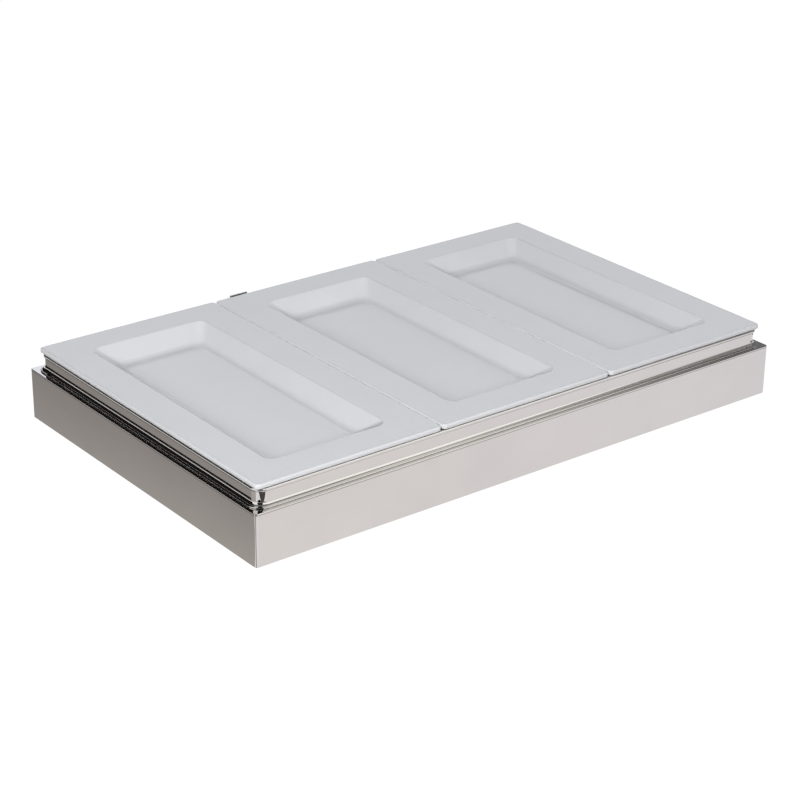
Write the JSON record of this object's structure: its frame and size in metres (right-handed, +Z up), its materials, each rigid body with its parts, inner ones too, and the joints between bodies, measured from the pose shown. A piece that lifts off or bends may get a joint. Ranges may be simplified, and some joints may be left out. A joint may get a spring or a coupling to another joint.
{
  "type": "buffet server",
  "caption": "Low polished housing with a heated well and a lift-off collar that carries porcelain serving trays side by side; controls in a side pocket.",
  "frame": {"origin": "on the table under the centre of the housing", "axes": "+X along the long side towards the end with the controls, +Y to the rear, +Z up"},
  "size_m": [0.542, 0.337, 0.0694],
  "materials": {
    "polished_steel": "mirror-polished stainless steel",
    "plain_steel": "mill-finish stainless steel",
    "pan_steel": "satin stainless steel",
    "zinc_steel": "zinc-plated steel",
    "rubber": "matte black rubber",
    "silicone": "red silicone sealing ring",
    "aluminium": "rolled aluminium plate",
    "element_sheath": "heat-darkened steel sheath",
    "brass": "brass",
    "copper": "copper capillary and bulb",
    "insulation": "mineral fibre mat",
    "panel_paint": "dark grey satin paint",
    "cream_plastic": "cream moulded plastic",
    "black_plastic": "black satin plastic",
    "dark_plastic": "dark moulded plastic",
    "red_plastic": "red gloss plastic",
    "amber_lens": "amber translucent lens",
    "block_ceramic": "unglazed ceramic",
    "brown_insulation": "brown silicone insulation",
    "blue_insulation": "blue silicone insulation",
    "white_insulation": "white silicone insulation",
    "green_insulation": "green and yellow silicone insulation",
    "porcelain": "white glazed porcelain"
  },
  "bodies": {
    "base": {"outer_frame": "polished_steel", "base_plate": "plain_steel", "base_screws": "zinc_steel", "base_nuts": "zinc_steel", "foot_front_left": "rubber", "foot_front_right": "rubber", "foot_rear_left": "rubber", "foot_rear_right": "rubber", "locating_studs": "plain_steel", "well_pan": "pan_steel", "pan_gasket": "silicone", "heat_spreader": "aluminium", "heating_element": "element_sheath", "element_pins": "brass", "element_clips": "plain_steel", "insulation_mat": "insulation", "heat_shield": "plain_steel", "control_panel": "panel_paint", "panel_nuts": "zinc_steel", "thermostat_body": "cream_plastic", "thermostat_sensor": "copper", "limit_switch_body": "dark_plastic", "limit_sensor": "copper", "reset_ring_nut": "zinc_steel", "lamp_body": "dark_plastic", "lamp_lens": "amber_lens", "power_switch_housing": "dark_plastic", "inlet_housing": "dark_plastic", "inlet_pins": "brass", "terminal_block": "block_ceramic", "terminal_screws": "brass", "live_leads": "brown_insulation", "neutral_leads": "blue_insulation", "lamp_leads": "white_insulation", "earth_lead": "green_insulation", "earth_stud": "brass"},
    "collar": {"tray_collar": "polished_steel", "divider_bar_left": "plain_steel", "divider_bar_right": "plain_steel", "lift_tab": "plain_steel", "tab_rivets": "zinc_steel"},
    "knob": {"thermostat_shaft": "plain_steel", "thermostat_knob": "black_plastic"},
    "rocker": {"power_rocker": "red_plastic"},
    "button": {"reset_button": "red_plastic"},
    "tray_left": {"tray_left": "porcelain"},
    "tray_middle": {"tray_middle": "porcelain"},
    "tray_right": {"tray_right": "porcelain"}
  },
  "joints": [
    {"name": "collar_lift", "type": "slide", "parent": "base", "child": "collar", "axis": [0, 0, 1], "range_m": [0, 0.1]},
    {"name": "tray_left_lift", "type": "slide", "parent": "collar", "child": "tray_left", "axis": [0, 0, 1], "range_m": [0, 0.08]},
    {"name": "tray_middle_lift", "type": "slide", "parent": "collar", "child": "tray_middle", "axis": [0, 0, 1], "range_m": [0, 0.08]},
    {"name": "tray_right_lift", "type": "slide", "parent": "collar", "child": "tray_right", "axis": [0, 0, 1], "range_m": [0, 0.08]},
    {"name": "knob_turn", "type": "hinge", "parent": "base", "child": "knob", "pos_m": [0.256, -0.04, 0.0265], "axis": [1, 0, 0], "range_deg": [0, 270]},
    {"name": "rocker_tilt", "type": "hinge", "parent": "base", "child": "rocker", "pos_m": [0.2555, 0.024, 0.0265], "axis": [0, 1, 0], "range_deg": [-18, 0]},
    {"name": "button_press", "type": "slide", "parent": "base", "child": "button", "axis": [-1, 0, 0], "range_m": [0, 0.002], "stiffness_N_per_m": 300, "springref_m": -0.001}
  ]
}
